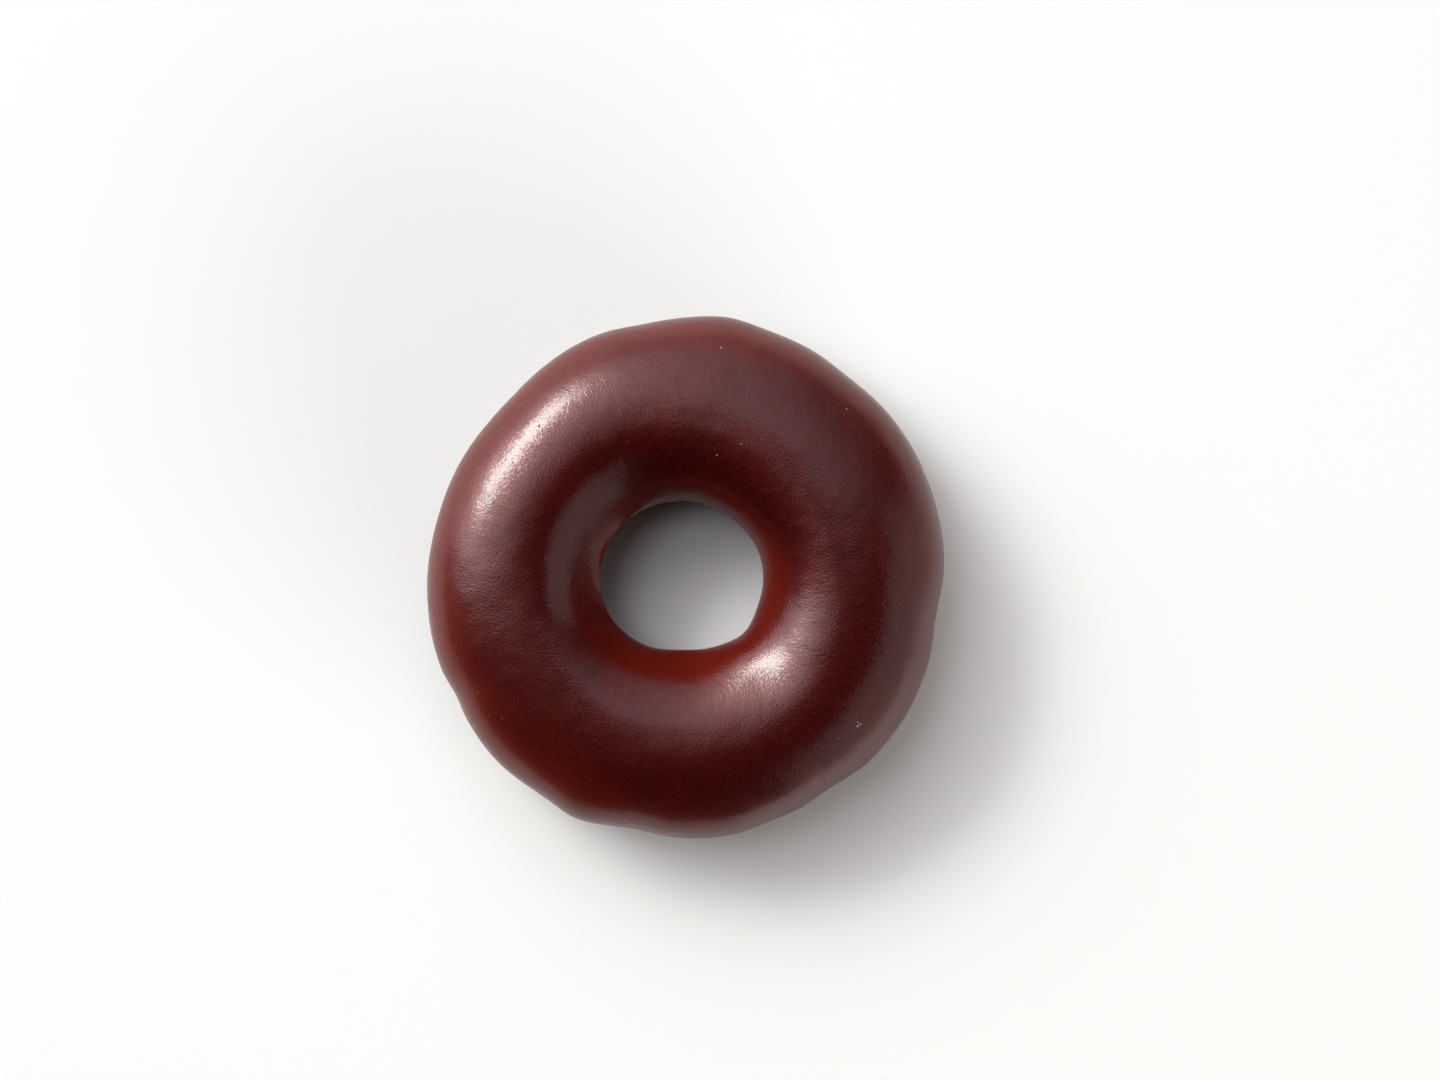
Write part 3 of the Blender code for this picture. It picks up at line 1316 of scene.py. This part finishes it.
    def angle_from(self, desk: NodeDesk, direction: bpy.types.NodeSocket, glow: Glow) -> Flow:
        """The angle between a direction and a glow's middle.

        Args:
            desk: The room's desk.
            direction: The direction.
            glow: The glow.

        Returns:
            The angle.
        """
        node = desk.add("ShaderNodeVectorMath", operation="DOT_PRODUCT")
        desk.feed(node, {0: direction, 1: glow.towards()})
        return desk.math("DEGREES", desk.math("ARCCOSINE", Flow(desk, node.outputs["Value"])))

    def inside(self, desk: NodeDesk, direction: bpy.types.NodeSocket, glow: Glow) -> Flow:
        """How much a direction lies inside a round glow, from 0 to 1."""
        angle = self.angle_from(desk, direction, glow)
        return desk.smooth(angle, glow.spread + glow.softness, glow.spread - glow.softness)

    def scrim_light(self, desk: NodeDesk, way: bpy.types.NodeSocket, x: Flow, z: Flow) -> Flow:
        """The scrim: broad, brighter towards -X, dimmer near the table, dark where the camera is.

        Args:
            desk: The room's desk.
            way: The direction that is looked in.
            x: Its part along X.
            z: Its part upwards.

        Returns:
            How bright the scrim is there.
        """
        right, left = desk.math("MAXIMUM", x, 0.0), desk.math("MINIMUM", x, 0.0)
        fall = right * right * -self.scrim_fade - left * self.scrim_gain
        level = desk.math("EXPONENT", fall) * self.scrim.radiance
        foot = desk.smooth(z, *self.scrim_foot_band) * (1.0 - self.scrim_foot) + self.scrim_foot
        shade = self.inside(desk, way, self.shade) * -self.shade.radiance + 1.0
        return self.inside(desk, way, self.scrim) * level * foot * shade

    def card_light(self, desk: NodeDesk, x: Flow, y: Flow, z: Flow) -> Flow:
        """The card: everything low down within its compass angle.

        Args:
            desk: The room's desk.
            x: The looked-in direction's part along X.
            y: Its part along Y.
            z: Its part upwards.

        Returns:
            How bright the card is there.
        """
        soft = self.card.softness
        turn = desk.math("ABSOLUTE", desk.turn_from(desk.angle(x, y), self.card.azimuth))
        across = desk.smooth(turn, self.card.spread + soft, self.card.spread - soft)
        zenith = desk.math("DEGREES", desk.math("ARCCOSINE", z))
        below = desk.smooth(zenith, self.card_top - soft, self.card_top + soft)
        return across * below * self.card.radiance

    def room_light(self) -> None:
        """The room: scrim, halo and card, dark elsewhere, and a plain backdrop for the camera."""
        world = bpy.data.worlds.new("studio_room")
        bpy.context.scene.world = world
        world.use_nodes = True
        desk = NodeDesk(world.node_tree)
        way = desk.add("ShaderNodeTexCoord").outputs["Generated"]
        x, y, z = desk.split(way)
        ray = desk.add("ShaderNodeLightPath").outputs
        share = Flow(desk, ray["Is Diffuse Ray"]) * (self.spill - 1.0) + 1.0
        fall = self.angle_from(desk, way, self.halo) / -self.halo.spread
        lights = (
            (self.scrim.colour, self.scrim_light(desk, way, x, z) * share),
            (self.halo.colour, desk.math("EXPONENT", fall) * self.halo.radiance),
            (self.card.colour, self.card_light(desk, x, y, z) * share),
        )
        total: object = self.room
        for colour, light in lights:
            tinted = desk.vector("SCALE", {0: colour, "Scale": light})
            total = desk.vector("ADD", {0: total, 1: tinted})
        seen = desk.mix(ray["Is Camera Ray"], total, (*self.backdrop, 1.0))
        desk.feed(world.node_tree.nodes["Background"], {"Color": seen})

    def build(self) -> None:
        """Sets the whole studio up."""
        bpy.context.scene.view_settings.view_transform = "Standard"
        self.camera()
        table = self.table()
        self.lamp("key_lamp", self.key, self.key_distance)
        self.lamp("fill_lamp", self.fill, self.fill_distance, table)
        self.lamp("top_fill_lamp", self.top_fill, self.fill_distance, table)
        self.lamp("sky_fill_lamp", self.sky_fill, self.fill_distance, table)
        self.room_light()
        LOG.info("studio: table, four lamps, room light and camera")


def main() -> None:
    """Builds the studio and the dressed doughnut."""
    logging.basicConfig(level=logging.INFO, format="%(name)s: %(message)s")
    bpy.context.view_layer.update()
    Studio().build()
    ring = GlazedRing().build()
    SugarCrystals().build(ring)
    SingleSpecks().build(ring)


if __name__ == "__main__":
    main()
